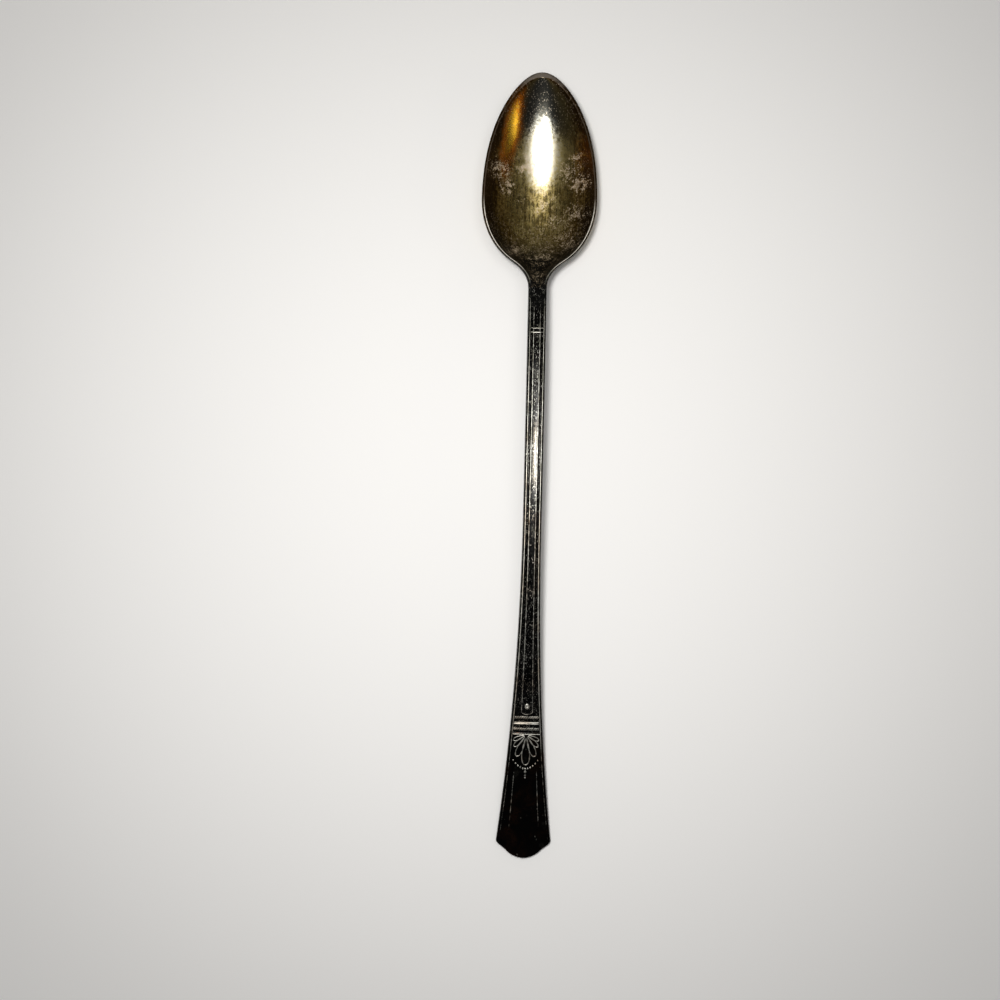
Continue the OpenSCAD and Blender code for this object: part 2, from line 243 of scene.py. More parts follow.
class Blank:
    """The struck blank: its outline, side view, hollow and relief as functions of place, in metres."""

    # Shapes of the curves
    tip_power = 4
    tip_floor_slope = 2
    hollow_power = 2.2
    runout_power = 1.4
    bowl_back_power = 2.3
    handle_back_power = 5
    side_share = 0.55
    slope_step = 0.02 * MM
    # Small sizes of the relief, and shares of a larger one
    first_bar_at = 0.75
    crossbar_end = 0.2 * MM
    channel_wall = 0.15 * MM
    ground_lead = 0.2 * MM
    ground_run = 0.4 * MM
    bead_power = 0.3
    dimple_r = 0.22 * MM
    dimple_d = 0.4
    band_count = 3
    reeded_band = 1
    reed_groove = 0.13 * MM
    band_end = 0.15 * MM
    cord_slant = 0.6
    border_at = 0.35 * MM
    border_w = 0.2 * MM
    ground_start = 0.3 * MM
    ground_rise = 3 * MM
    held_len = 45 * MM
    held_spread = 0.7
    # The palmette: the pairs of petals beside the middle one and their teardrop, then the beads below them,
    # of which the drop's are listed as place and radius
    petal_pairs = 3
    petal_root = 0.5 * MM
    petal_start = 0.14
    petal_end = 1.2
    petal_broad = 0.125
    petal_power = 2.4
    petal_fill = 7.85
    swag_pairs = 5
    swag_step = 0.6 * MM
    swag_hang = 1.5 * MM
    swag_lift = 0.085 * MM
    swag_bead = 0.25 * MM
    drop_beads = ((2.3 * MM, 0.42 * MM), (3.1 * MM, 0.33 * MM), (3.7 * MM, 0.25 * MM))
    # How far the plate is rubbed on each form, where that starts and ends, and how far its marks stay dark
    rest_wear = 0.6
    rest_fade = 0.06 * MM
    edge_wear = 0.3
    edge_fade = 0.3 * MM
    rim_start = 0.08 * MM
    rim_inner = 0.17 * MM
    rim_fade = 0.1 * MM
    rim_loss = 0.9
    rim_tip_len = 6 * MM
    wire_wear = 0.8
    end_wear = 0.8
    neck_wear = 0.4
    flank_wear = 0.35
    flank_line = 0.12 * MM
    crossbar_wear = 0.8
    bead_wear = 0.75
    bead_edge = 3
    dimple_dirt = 0.5
    mark_dirt = 0.6

    def __init__(self, scene):
        self.bowl = bowl = scene.teaspoon_bowl
        self.handle = handle = scene.teaspoon_handle
        self.relief = relief = scene.teaspoon_relief
        self.tip_y = BOWL_HIGH.y
        self.end_y = END_LOW.y
        self.neck_y = BOWL_LOW.y
        self.stem_y = STEM_HIGH.y
        self.collar_top = STEM_LOW.y
        self.collar_y = END_HIGH.y
        self.belly_y = self.tip_y - bowl.belly_at
        self.deep_y = self.tip_y - bowl.deep_at
        self.arch_y = self.end_y + handle.arch_at
        self.arch_h = STEM_HIGH.z - handle.crown
        self.rim_z = bowl.depth + bowl.wall
        self.neck_z = self.rim_z + bowl.neck_rise
        self.end_z = handle.end_t - handle.land_len * tan(handle.end_climb)
        # The rim's oval reaches from the belly to where the shoulder takes over
        self.heel_oval = self.belly_y - self.neck_y - bowl.shoulder_len
        lean = tan(bowl.shoulder_angle) * self.heel_oval
        self.shoulder_y = self.belly_y - self.heel_oval * lean / hypot(bowl.width / 2, lean)
        # The lobe is an arc through the end and both of its own corners
        self.lobe_d = ((handle.lobe_w / 2) ** 2 + handle.lobe_len ** 2) / handle.lobe_len
        # Places of the relief along the handle
        first_bar = self.stem_y - relief.crossbar_len * self.first_bar_at
        self.bars = [first_bar, first_bar - relief.crossbar_len - relief.crossbar_gap]
        self.band_top = self.collar_top - relief.band_gap
        pitch = relief.band_len + relief.band_gap
        self.bands = [self.band_top - relief.band_len / 2 - i * pitch for i in range(self.band_count)]
        self.bead_y = self.collar_top + relief.bead_gap
        self.panel_y = self.band_top + relief.panel_sag + relief.wire_w

    # Outline

    def half_width(self, y):
        """Half the width of the spoon at y."""
        bowl, handle = self.bowl, self.handle
        if y > self.belly_y:
            t = min((y - self.belly_y) / bowl.belly_at, 1.0)
            return bowl.width / 2 * sqrt(1 - t * t) * (1 - bowl.tip_taper * t ** self.tip_power)
        if y > self.shoulder_y:
            return self.heel_half(y)
        if y > self.neck_y:
            run = self.shoulder_y - self.neck_y
            lean = tan(bowl.shoulder_angle) * run
            t = (y - self.neck_y) / run
            return cubic(handle.stem_w / 2, 0, self.heel_half(self.shoulder_y), lean, t)
        return self.handle_half(y - self.end_y)

    def heel_half(self, y):
        """Half the width of the oval between the belly and the shoulders."""
        return self.bowl.width / 2 * sqrt(1 - ((self.belly_y - y) / self.heel_oval) ** 2)

    def handle_half(self, e):
        """Half the width of the handle at a distance from its end."""
        handle = self.handle
        if e < handle.lobe_len:
            return sqrt(max(e, 0.0) * (self.lobe_d - e))
        flare = (handle.end_w - handle.lobe_w) / 2 / (handle.corner_at - handle.lobe_len)
        corner = handle.lobe_w / 2 + (e - handle.lobe_len) * flare
        t = min((e - handle.corner_at) / handle.taper_len, 1.0)
        lean = -tan(handle.taper_angle) * handle.taper_len
        taper = cubic(handle.end_w / 2, lean, handle.stem_w / 2, 0, t)
        return rounded_min(corner, taper, handle.corner_r)

    def half_change(self, y):
        """Half the change of the squared half width along the length."""
        low = max(y - self.slope_step, self.end_y)
        high = min(y + self.slope_step, self.tip_y)
        return (self.half_width(high) ** 2 - self.half_width(low) ** 2) / (high - low) / 2

    # Side view

    def top_line(self, y):
        """Height of the rim and of the handle's top."""
        bowl, handle = self.bowl, self.handle
        if y > self.belly_y:
            return self.rim_z + bowl.tip_rise * ((y - self.belly_y) / bowl.belly_at) ** 2
        if y > self.neck_y:
            run = self.belly_y - self.neck_y
            return cubic(self.neck_z, -tan(handle.neck_fall) * run, self.rim_z, 0, (y - self.neck_y) / run)
        if y > self.arch_y:
            run = self.neck_y - self.arch_y
            return cubic(self.arch_h, 0, self.neck_z, -tan(handle.neck_fall) * run, (y - self.arch_y) / run)
        climb = tan(handle.end_climb) * handle.arch_at
        return cubic(self.end_z, climb, self.arch_h, 0, (y - self.end_y) / handle.arch_at)

    def hollow(self, y):
        """Depth of the hollow along the centre line."""
        bowl = self.bowl
        if y < self.neck_y:
            return 0.0
        deepest = self.top_line(y) - bowl.wall
        if y > self.deep_y:
            t = min((y - self.deep_y) / (bowl.deep_at - bowl.tip_land), 1.0)
            return deepest * (1 - cubic(0, 0, 1, self.tip_floor_slope, t))
        s = (self.deep_y - y) / (self.deep_y - self.neck_y)
        return deepest * (1 - s * s) ** self.runout_power

    def hollow_half(self, y):
        """Half the width of the hollow, whose oval ends short of the tip by the wider flat there."""
        bowl, handle = self.bowl, self.handle
        reach = bowl.belly_at - bowl.tip_land
        if y > self.belly_y:
            t = min((y - self.belly_y) / reach, 1.0)
            side = bowl.width / 2 - handle.edge_r - bowl.rim_land
            return side * sqrt(1 - t * t) * (1 - bowl.tip_taper * t ** self.tip_power)
        return self.half_width(y) - handle.edge_r - bowl.rim_land

    def thickness(self, y):
        """Thickness of the metal along the centre line."""
        bowl, handle = self.bowl, self.handle
        belly = bowl.wall + bowl.worn
        if y > self.deep_y:
            return mix(belly, bowl.rim_t, ((y - self.deep_y) / bowl.deep_at) ** 2)
        if y > self.neck_y:
            return mix(belly, handle.neck_t, smooth((self.deep_y - y) / (self.deep_y - self.neck_y)))
        return mix(handle.end_t, handle.neck_t, (y - self.end_y) / (self.neck_y - self.end_y))

    def towards_neck(self, y):
        """Soft step from 0 at the belly to 1 at the neck."""
        return smooth((self.belly_y - y) / (self.belly_y - self.neck_y))

    def side_height(self, y):
        """Height of the metal at the long edges."""
        handle = self.handle
        if y > self.neck_y:
            return mix(self.bowl.rim_t, handle.neck_t * self.side_share, self.towards_neck(y))
        return self.thickness(y) * self.side_share

    # Skins: each gives a height, how far the plate is rubbed there, and how far up the bowl's wall it is

    def top(self, x, cut):
        """The upper skin."""
        skin_here = self.bowl_top if cut.y > self.neck_y else self.handle_top
        height, rubbed, wall = skin_here(x, cut)
        return mix(cut.edge_z, height, edge_round(cut.inset(x), self.handle.edge_r)), rubbed, wall

    def back(self, x, cut):
        """The underside, worn flat where it meets the table."""
        middle = cut.top - cut.hollow - cut.thickness
        edge = cut.top - cut.side
        height = mix(middle, edge, min(abs(x) / cut.inner, 1.0) ** cut.back_power)
        gap = cut.inset(x)
        height = mix(cut.edge_z, height, edge_round(gap, self.handle.edge_r))
        height = max(height, 0.0)
        worn_flat = self.rest_wear * dome(height, self.rest_fade)
        worn_edge = self.edge_wear * dome(gap, self.edge_fade)
        return height, max(worn_flat, worn_edge), 0.0

    def bowl_top(self, x, cut):
        """The hollow and the flat of the rim."""
        if cut.hollow_half < TINY:
            return cut.top, 1.0, 1.0
        wall = min(abs(x) / cut.hollow_half, 1.0)
        height = cut.top - cut.hollow * (1 - wall ** self.hollow_power)
        # Away from the tip only the inner side of the rim is rubbed
        over = abs(x) - cut.hollow_half
        outer_side = smooth((over - self.rim_inner) / self.rim_fade)
        outer_side *= smooth((self.tip_y - cut.y) / self.rim_tip_len)
        return height, smooth(over / self.rim_start) * (1 - self.rim_loss * outer_side), wall

    def handle_top(self, x, cut):
        """The crowned top of the handle with its relief."""
        if cut.y > self.band_top:
            relief, rubbed = self.stem_relief(x, cut)
        elif cut.y > self.collar_y:
            relief, rubbed = self.collar_relief(x, cut)
        else:
            relief, rubbed = self.end_relief(x, cut)
        if abs(x) > cut.rib:
            above_end = smooth((cut.y - self.collar_y) / self.relief.fade_len + 1)
            wear = mix(self.end_wear, 1.0, above_end)
            over = abs(x) - cut.rib
            held = above_end * smooth((self.arch_y - cut.y) / self.held_len)
            crest_w = min(self.relief.crest_w * (1 + self.held_spread * held), (cut.half - cut.rib) / 2)
            crest = dome(over - crest_w / 2, crest_w / 2)
            # The crest lies level across the crown, and the flank falls from it to the edge
            level = 2 * cut.crown * cut.rib / cut.inner ** 2 * min(over, crest_w)
            fall = max(over - crest_w, 0.0) / (cut.half - cut.rib - crest_w)
            relief = (self.relief.rib_h * crest + level - self.relief.flank_d * fall * fall) * cut.fade
            flank = self.flank_wear * dome(cut.inset(x) - self.flank_line, self.flank_line)
            rubbed = max(crest, flank) * mix(self.neck_wear, wear, cut.fade)
        across = x / cut.inner
        return cut.top + cut.crown * (1 - across * across) + relief, rubbed, 0.0

    def channel(self, place, first, last):
        """Hollow channel from one edge to another, from 0 at both to its depth between them."""
        t = (place - first) / (last - first)
        return self.relief.channel_d * max(0.0, 4 * t * (1 - t))

    def stem_relief(self, x, cut):
        """A dished panel between two wires, channels beside it, two crossbars and a bead."""
        relief = self.relief
        side = abs(x)
        wire = relief.wire_w / 2
        panel_end = self.panel_y - relief.panel_sag * (1 - min(side / cut.panel, 1.0) ** 2)
        outside = max(side - cut.panel, panel_end - cut.y)
        crest = dome(outside, wire)
        if outside < -wire:
            t = min((-outside - wire) / (cut.panel - wire), 1.0)
            height = -relief.dish_d * t * (2 - t)
        elif outside < wire:
            height = relief.wire_h * crest
        else:
            ground = smooth((self.panel_y + self.ground_lead - cut.y) / self.ground_run)
            start = relief.channel_d * smooth((outside - wire) / self.channel_wall)
            height = -mix(self.channel(side, cut.panel + wire, cut.rib), start, ground)
        height *= cut.fade
        rubbed = self.wire_wear * crest * cut.fade
        for bar in self.bars:
            lift = dome(cut.y - bar, relief.crossbar_len / 2)
            lift *= smooth((cut.rib - side) / self.crossbar_end)
            height = mix(height, relief.crossbar_h, sqrt(lift))
            rubbed = max(rubbed, self.crossbar_wear * lift)
        bead = dome(hypot(x / relief.bead_w, (cut.y - self.bead_y) / relief.bead_len), 0.5)
        dimple = dome(hypot(x, cut.y - self.bead_y), self.dimple_r)
        if bead > 0:
            height = max(height, relief.bead_h * bead ** self.bead_power * (1 - self.dimple_d * dimple))
            bright = smooth(self.bead_edge * bead) * (1 - self.dimple_dirt * dimple)
            rubbed = max(rubbed, self.bead_wear * bright)
        return height, rubbed

    def collar_relief(self, x, cut):
        """Two corded bands with a band of two reeds between them, which end against the ribs."""
        relief = self.relief
        run = smooth((cut.rib - abs(x)) / self.band_end)
        height = -relief.channel_d * run
        rubbed = 0.0
        for i, band in enumerate(self.bands):
            lift = dome(cut.y - band, relief.band_len / 2)
            if lift > 0:
                slanted = x + self.cord_slant * (cut.y - band)
                cord = 0.5 + 0.5 * sin(2 * pi * slanted / relief.cord_pitch)
                groove = dome(cut.y - band, self.reed_groove)
                mark = groove if i == self.reeded_band else cord
                band_top = mix(-relief.channel_d, relief.band_h, sqrt(lift)) - relief.cord_d * mark * lift
                height = band_top * run
                rubbed = sqrt(lift) * (1 - self.mark_dirt * mark) * run
        return height, rubbed

    def end_relief(self, x, cut):
        """A palmette on a sunk ground below a border line, and a plain field between two wires."""
        relief = self.relief
        drop = self.collar_y - cut.y
        side = abs(x)
        wire = relief.wire_w / 2
        ornament = self.palmette(x, drop)
        border = dome(drop - self.border_at, self.border_w)
        below = smooth((drop - relief.petal_len) / self.ground_rise)
        ground = mix(relief.ground_d, 0.0, below)
        ground = mix(relief.channel_d, ground, smooth(drop / self.ground_start))
        height = -ground - self.channel(side, cut.field + wire, cut.rib) * below * cut.fade / 2
        line = dome(side - cut.field, wire) * below * cut.fade
        lift = max(ornament, border, line)
        return mix(height, relief.wire_h, lift), max(ornament, border, self.end_wear * line)

    def palmette(self, x, drop):
        """Raised lines of a fan of petals that opens towards the end, with a swag and a drop of beads."""
        relief = self.relief
        lift = 0.0
        for k in range(-self.petal_pairs, self.petal_pairs + 1):
            turn = k * relief.petal_turn
            along = x * sin(turn) + (drop - self.petal_root) * cos(turn)
            across = x * cos(turn) - (drop - self.petal_root) * sin(turn)
            reach = 1 / hypot(cos(turn) / relief.petal_len, sin(turn) / relief.petal_reach)
            t = along / reach
            if self.petal_start < t < self.petal_end:
                # Teardrop whose widest place is at 0.7 of its length
                power = self.petal_power
                broad_squared = self.petal_fill * (self.petal_broad * reach) ** 2
                half_squared = broad_squared * t ** power * (1 - t)
                half_change = broad_squared * t ** (power - 1) * (power - (power + 1) * t) / 2 / reach
                lift = max(lift, dome(inset(across, half_squared, half_change), relief.petal_line))
        below = drop - relief.petal_len
        for k in range(-self.swag_pairs, self.swag_pairs + 1):
            hang = self.swag_hang - self.swag_lift * k * k
            lift = max(lift, sqrt(dome(hypot(x - self.swag_step * k, below - hang), self.swag_bead)))
        for step, radius in self.drop_beads:
            lift = max(lift, sqrt(dome(hypot(x, below - step), radius)))
        return lift


class Cut:
    """One section across the blank at y: the values that all of its points share."""

    # The most of a narrow section that its edge, rib and wire may take
    most_edge = 1 / 3
    most_rib = 1 / 5
    most_wire = 1 / 4

    def __init__(self, blank, y):
        handle, relief = blank.handle, blank.relief
        self.y = y
        self.half = blank.half_width(y)
        self.half_change = blank.half_change(y)
        self.inner = max(self.half - min(handle.edge_r, self.half * self.most_edge), TINY)
        self.top = blank.top_line(y)
        self.hollow = blank.hollow(y)
        self.hollow_half = min(blank.hollow_half(y), self.inner)
        self.thickness = blank.thickness(y)
        self.side = blank.side_height(y)
        self.edge_z = self.top - self.side / 2
        self.back_power = mix(blank.bowl_back_power, blank.handle_back_power, blank.towards_neck(y))
        self.crown = handle.crown * smooth((blank.neck_y - y) / relief.fade_len)
        at_end = smooth((y - blank.end_y - handle.corner_at) / relief.fade_len)
        self.fade = at_end * smooth((blank.neck_y - y) / relief.fade_len)
        self.rib = self.inner - min(relief.rib_w, self.inner * self.most_rib)
        self.panel = relief.panel_share * self.inner
        self.field = relief.field_share * self.inner
        self.wire = min(relief.wire_w / 2, self.panel * self.most_wire)

    def inset(self, x):
        """Distance of a point inside the outline."""
        return inset(x, self.half * self.half, self.half_change)

    def mark(self, name):
        """Distance from the axis to a named place on the section."""
        places = {
            "axis": 0.0,
            "hollow": self.hollow_half,
            "panel inside": self.panel - self.wire,
            "panel outside": self.panel + self.wire,
            "rib": self.rib,
            "inner": self.inner,
            "edge": self.half,
        }
        return places[name]


# Skins

WELD = 1e-7
SHARP = radians(50)


def steps(start, end, size):
    """Places from start to end, about a size apart, without the end."""
    count = max(1, round(abs(end - start) / size))
    return [mix(start, end, i / count) for i in range(count)]


def ring(spans):
    """Columns once round a section: the right half from the top to the back, then the left half back again.
    A span names the marks it runs between and how many columns it has."""
    right = []
    for upper, first, last, count in spans:
        right += [(1, upper, first, last, i / count) for i in range(count)]
    back = (1, False, "axis", "axis", 0.0)
    left = [(-1,) + column[1:] for column in reversed(right[1:])]
    return right + [back] + left


def skin(name, blank, rows, spans):
    """A closed skin over the sections at these rows: a grid rolled round them, welded and capped."""
    columns = ring(spans)
    cuts = [Cut(blank, y) for y in rows]
    bm = bmesh.new()
    rubbed_layer = bm.verts.layers.float.new("rubbed")
    wall_layer = bm.verts.layers.float.new("wall")
    bmesh.ops.create_grid(bm, x_segments=len(columns), y_segments=len(rows) - 1, size=0.5)
    for index, vert in enumerate(bm.verts):
        row, column = divmod(index, len(columns) + 1)
        side, upper, first, last, t = columns[column % len(columns)]
        cut = cuts[row]
        x = side * mix(cut.mark(first), cut.mark(last), t)
        height, rubbed, wall = blank.top(x, cut) if upper else blank.back(x, cut)
        vert.co = (x, cut.y, height)
        vert[rubbed_layer] = rubbed
        vert[wall_layer] = wall
    bmesh.ops.remove_doubles(bm, verts=bm.verts, dist=WELD)
    bmesh.ops.holes_fill(bm, edges=[edge for edge in bm.edges if edge.is_boundary], sides=0)
    bmesh.ops.recalc_face_normals(bm, faces=bm.faces)
    for face in bm.faces:
        face.smooth = True
    mesh = bpy.data.meshes.new(name)
    bm.to_mesh(mesh)
    bm.free()
    mesh.set_sharp_from_angle(angle=SHARP)
    piece = bpy.data.objects.new(name, mesh)
    bpy.context.scene.collection.objects.link(piece)
    return piece


def seat(piece, node, material):
    """Puts a piece in the place of its node, with the finish of its slot."""
    piece.data.materials.append(material)
    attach(piece, "root")
    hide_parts(node)


EDGE_SPANS = [
    (True, "inner", "edge", 6),
    (False, "edge", "inner", 6),
]
BOWL_SPANS = [
    (True, "axis", "hollow", 60),
    (True, "hollow", "inner", 6),
    *EDGE_SPANS,
    (False, "inner", "axis", 40),
]
REEDED_SPANS = [
    (True, "axis", "panel inside", 9),
    (True, "panel inside", "panel outside", 4),
    (True, "panel outside", "rib", 10),
    (True, "rib", "inner", 9),
    *EDGE_SPANS,
    (False, "inner", "axis", 14),
]
CARVED_SPANS = [
    (True, "axis", "rib", 48),
    (True, "rib", "inner", 9),
    *EDGE_SPANS,
    (False, "inner", "axis", 18),
]


# Materials

class Graph:
    """Adds nodes to one tree. A socket given as a value is linked, and anything else is set."""

    def __init__(self, tree):
        self.tree = tree

    def add(self, kind, values=(), **settings):
        node = self.tree.nodes.new(kind)
        for name, value in settings.items():
            setattr(node, name, value)
        for socket, value in dict(values).items():
            self.feed(node.inputs[socket], value)
        return node

    def feed(self, socket, value):
        if isinstance(value, NodeSocket):
            self.tree.links.new(value, socket)
        else:
            socket.default_value = value

    def axes(self, place):
        """The coordinates X, Y and Z of a place."""
        return self.add("ShaderNodeSeparateXYZ", {0: place}).outputs

    def attribute(self, name):
        """A value that the piece's own points carry."""
        return self.add("ShaderNodeAttribute", attribute_name=name).outputs["Fac"]

    def math(self, operation, first, second=0.0):
        return self.add("ShaderNodeMath", {0: first, 1: second}, operation=operation).outputs[0]

    def plus(self, first, second):
        return self.math("ADD", first, second)

    def minus(self, first, second):
        return self.math("SUBTRACT", first, second)

    def times(self, first, second):
        return self.math("MULTIPLY", first, second)

    def larger(self, first, second):
        return self.math("MAXIMUM", first, second)

    def ramp(self, value, low, high, start=0.0, end=1.0):
        """Soft step of a value, from start at low to end at high."""
        values = {"Value": value, "From Min": low, "From Max": high, "To Min": start, "To Max": end}
        return self.add("ShaderNodeMapRange", values, interpolation_type="SMOOTHSTEP").outputs["Result"]

    def blend(self, factor, first, second):
        """Colour between two others."""
        return self.add("ShaderNodeMix", {0: factor, 6: first, 7: second}, data_type="RGBA").outputs[2]

    def level(self, factor, first, second):
        """Value between two others."""
        return self.add("ShaderNodeMix", {0: factor, 2: first, 3: second}, data_type="FLOAT").outputs[0]

    def noise(self, place, scale, detail=4.0, rough=0.5, distortion=0.0):
        values = {"Vector": place, "Scale": scale, "Detail": detail}
        values |= {"Roughness": rough, "Distortion": distortion}
        return self.add("ShaderNodeTexNoise", values).outputs["Fac"]

    def stretch(self, place, scale, turn=0.0):
        """Coordinates turned about the vertical and then stretched by a scale."""
        turned = self.add("ShaderNodeMapping", {"Vector": place, "Rotation": (0.0, 0.0, turn)}).outputs[0]
        return self.add("ShaderNodeMapping", {"Vector": turned, "Scale": scale}).outputs[0]

    def oval(self, place, centre, radii, turn=0.0):
        """Distance from the middle of an oval seen from above: 0 there and 1 on its outline."""
        values = {
            "Vector": place,
            "Location": (*centre, 0.0),
            "Rotation": (0.0, 0.0, turn),
            "Scale": (*radii, 1.0),
        }
        inside = self.add("ShaderNodeMapping", values, vector_type="TEXTURE").outputs[0]
        return self.add("ShaderNodeVectorMath", {0: inside}, operation="LENGTH").outputs["Value"]

    def group(self, tree, **values):
        """A shared effect with its own values; a name's underscores stand for spaces."""
        node = self.add("ShaderNodeGroup", node_tree=tree)
        for name, value in values.items():
            self.feed(node.inputs[name.replace("_", " ")], value)
        return node.outputs[0]


def shared_effect(name, output, **inputs):
    """A node group with a Place and named values, and one output. Returns its tree, graph and sockets."""
    tree = bpy.data.node_groups.new(name, "ShaderNodeTree")
    tree.interface.new_socket("Place", in_out="INPUT", socket_type="NodeSocketVector")
    for socket, default in inputs.items():
        made = tree.interface.new_socket(
            socket.replace("_", " "), in_out="INPUT", socket_type="NodeSocketFloat")
        made.default_value = default
    tree.interface.new_socket(output, in_out="OUTPUT", socket_type="NodeSocketFloat")
    start = tree.nodes.new("NodeGroupInput")
    end = tree.nodes.new("NodeGroupOutput")
    return tree, Graph(tree), start.outputs, end.inputs[0]


def tarnish_clouds():
    """Blotches of film: patches of a size, drifting into each other, above a cover from 0 to 1."""
    tree, graph, given, out = shared_effect(
        "Tarnish clouds", "Cloud", Patches=200.0, Cover=0.5, Softness=0.12)
    cloud = graph.noise(given["Place"], given["Patches"], detail=9.0, rough=0.6, distortion=0.5)
    low = graph.minus(given["Cover"], given["Softness"])
    high = graph.plus(given["Cover"], given["Softness"])
    graph.feed(out, graph.ramp(cloud, low, high))
    return tree


def rubbed_ridges():
    """Bright metal on the ridges, broken up where tarnish has stayed."""
    tree, graph, given, out = shared_effect("Rubbed ridges", "Bright", Breakup=900.0, Loss=0.5)
    patches = graph.noise(given["Place"], given["Breakup"], detail=5.0, rough=0.7)
    left = graph.times(graph.ramp(patches, 0.35, 0.65), given["Loss"])
    graph.feed(out, graph.ramp(graph.minus(graph.attribute("rubbed"), left), 0.15, 0.75))
    return tree


SPECK_STRETCH = (1.0, 0.6, 1.0)
SPECK_FRAYING = 1.2


def bright_specks():
    """Small ragged pits and nicks, each a cell of a pattern, of which only a share shows."""
    tree, graph, given, out = shared_effect("Bright specks", "Speck", Spacing=1500.0, Share=0.1, Size=0.3)
    drawn_out = graph.add(
        "ShaderNodeVectorMath", {0: given["Place"], 1: SPECK_STRETCH}, operation="MULTIPLY").outputs[0]
    cell = graph.add("ShaderNodeTexVoronoi", {"Vector": drawn_out, "Scale": given["Spacing"]}).outputs
    chance = graph.add("ShaderNodeSeparateColor", {0: cell["Color"]}).outputs[0]
    shown = graph.math("LESS_THAN", chance, given["Share"])
    fine = graph.noise(given["Place"], graph.times(given["Spacing"], 2.0), detail=2.0, rough=0.6)
    ragged = graph.times(graph.minus(fine, 0.5), SPECK_FRAYING)
    dot = graph.ramp(graph.plus(cell["Distance"], ragged), given["Size"], graph.times(given["Size"], 0.5))
    graph.feed(out, graph.times(dot, shown))
    return tree


# Scratches along the spoon, and those across it: stretch and turn
SCRATCHES = (
    ((1.0, 0.03, 1.0), radians(4)),
    ((0.05, 1.0, 0.3), radians(-25)),
)
ACROSS_SHARE = 0.3


def hairlines():
    """Fine polishing scratches along the spoon, and fewer across it."""
    tree, graph, given, out = shared_effect("Hairlines", "Height", Fineness=5000.0)
    lines = []
    for scale, turn in SCRATCHES:
        drawn_out = graph.stretch(given["Place"], scale, turn)
        lines.append(graph.noise(drawn_out, given["Fineness"], detail=2.0))
    graph.feed(out, graph.level(ACROSS_SHARE, *lines))
    return tree


def effect(maker):
    """The shared effect of that maker, built the first time it is asked for."""
    name = maker.__name__.replace("_", " ").capitalize()
    return bpy.data.node_groups.get(name) or maker()


def new_plate(name):
    """An empty metal material: its graph, its shader and the piece's own coordinates."""
    material = bpy.data.materials.new(name)
    material.use_nodes = True
    graph = Graph(material.node_tree)
    shader = material.node_tree.nodes["Principled BSDF"]
    place = graph.add("ShaderNodeTexCoord").outputs["Object"]
    return material, graph, shader, place


def finish_plate(graph, shader, tint, roughness, metal, relief, depth):
    """Joins the colour, roughness and fine relief to the shader."""
    graph.feed(shader.inputs["Base Color"], tint)
    graph.feed(shader.inputs["Roughness"], roughness)
    graph.feed(shader.inputs["Metallic"], metal)
    bump = graph.add("ShaderNodeBump", {"Height": relief, "Strength": 1.0, "Distance": depth})
    graph.feed(shader.inputs["Normal"], bump.outputs[0])


# Patches of dull bloom in the bowl: x, y and radius in millimetres, and strength
BLOOM_PATCHES = (
    (-9.5, 73.0, 5.0, 1.25),
    (-7.6, 69.2, 3.6, 1.6),
    (-3.6, 75.0, 5.5, 1.5),
    (9.9, 70.0, 4.4, 1.5),
    (7.5, 73.5, 7.0, 0.95),
    (8.9, 76.2, 2.6, 1.2),
    (9.0, 62.5, 7.5, 1.0),
    (1.0, 66.5, 7.0, 0.9),
    (-4.0, 67.0, 5.0, 0.7),
    (4.5, 62.0, 7.0, 0.75),
    (1.0, 53.0, 10.0, 0.9),
    (-5.5, 53.5, 6.0, 1.05),
    (6.8, 56.0, 6.0, 1.15),
    (0.0, 47.0, 6.0, 1.0),
)
# Pale middle and yellow haze round it, partly painted glow round the highlight: their middles and radii
THIN_GLOW_CENTRE = (0.5 * MM, 77.5 * MM)
THIN_GLOW_RADII = (5.8 * MM, 11 * MM)
HAZE_GLOW_CENTRE = (0.8 * MM, 76.5 * MM)
HAZE_GLOW_RADII = (10 * MM, 8.5 * MM)
# Middle, radii and turn of the amber film, which is partly a painted warm reflection
AMBER_CENTRE = (-6.8 * MM, 82.5 * MM)
AMBER_RADII = (2.6 * MM, 12 * MM)
AMBER_TURN = radians(-10)
# Places along the bowl between which a finish comes in
GREY_TIP = (74 * MM, 87 * MM)
PALE_TIP = (78 * MM, 86 * MM)
PITTED = (80 * MM, 66 * MM)
SPECKED_HEEL = (66 * MM, 56 * MM)
SPECKED_TIP = (80 * MM, 86 * MM)
TARNISHED_NECK = (63 * MM, 53 * MM)
DULLED_HEEL = (77 * MM, 68 * MM)
SMEARED = (87 * MM, 77 * MM)
DARK_RIM = (93 * MM, 90 * MM)
SILVER_RIM = (66 * MM, 60 * MM)
DULL_RIM = (49.5 * MM, 47 * MM)
BLACK_RIM = (46.5 * MM, 43.8 * MM)
# Shares of the way up the bowl's wall between which a finish comes in
# The browner sides and the heavy film up the walls are partly painted shade
BROWN_SIDES = (0.3, 0.8)
HEAVY_SHADE_SIDES = (0.5, 0.95)
AMBER_FOOT = (0.1, 0.3)
AMBER_TOP = (0.97, 0.8)
# How far the edges of films fray, as a share of an oval, of the wall or as a length
OVAL_FRAYING = 0.2
AMBER_FRAYING = 0.25
WALL_FRAYING = 0.3
NECK_FRAYING = 6 * MM
STREAK_STRETCH = (1.0, 0.05, 1.0)
SCRATCH_FINENESS = 4500.0
BOWL_PITTING = 0.0045 * MM
# Roughness of the finishes in the bowl, in the order in which they lie over each other
BOWL_ROUGHNESS = {
    "haze_and_glow": 0.38,
    "thin": 0.26,
    "smeared": 0.34,
    "heavy_film_and_shade": 0.4,
    "neck": 0.45,
    "amber": 0.22,
    "bloom": 0.5,
    "bright": 0.5,
}
BLOOM_METAL = 0.3


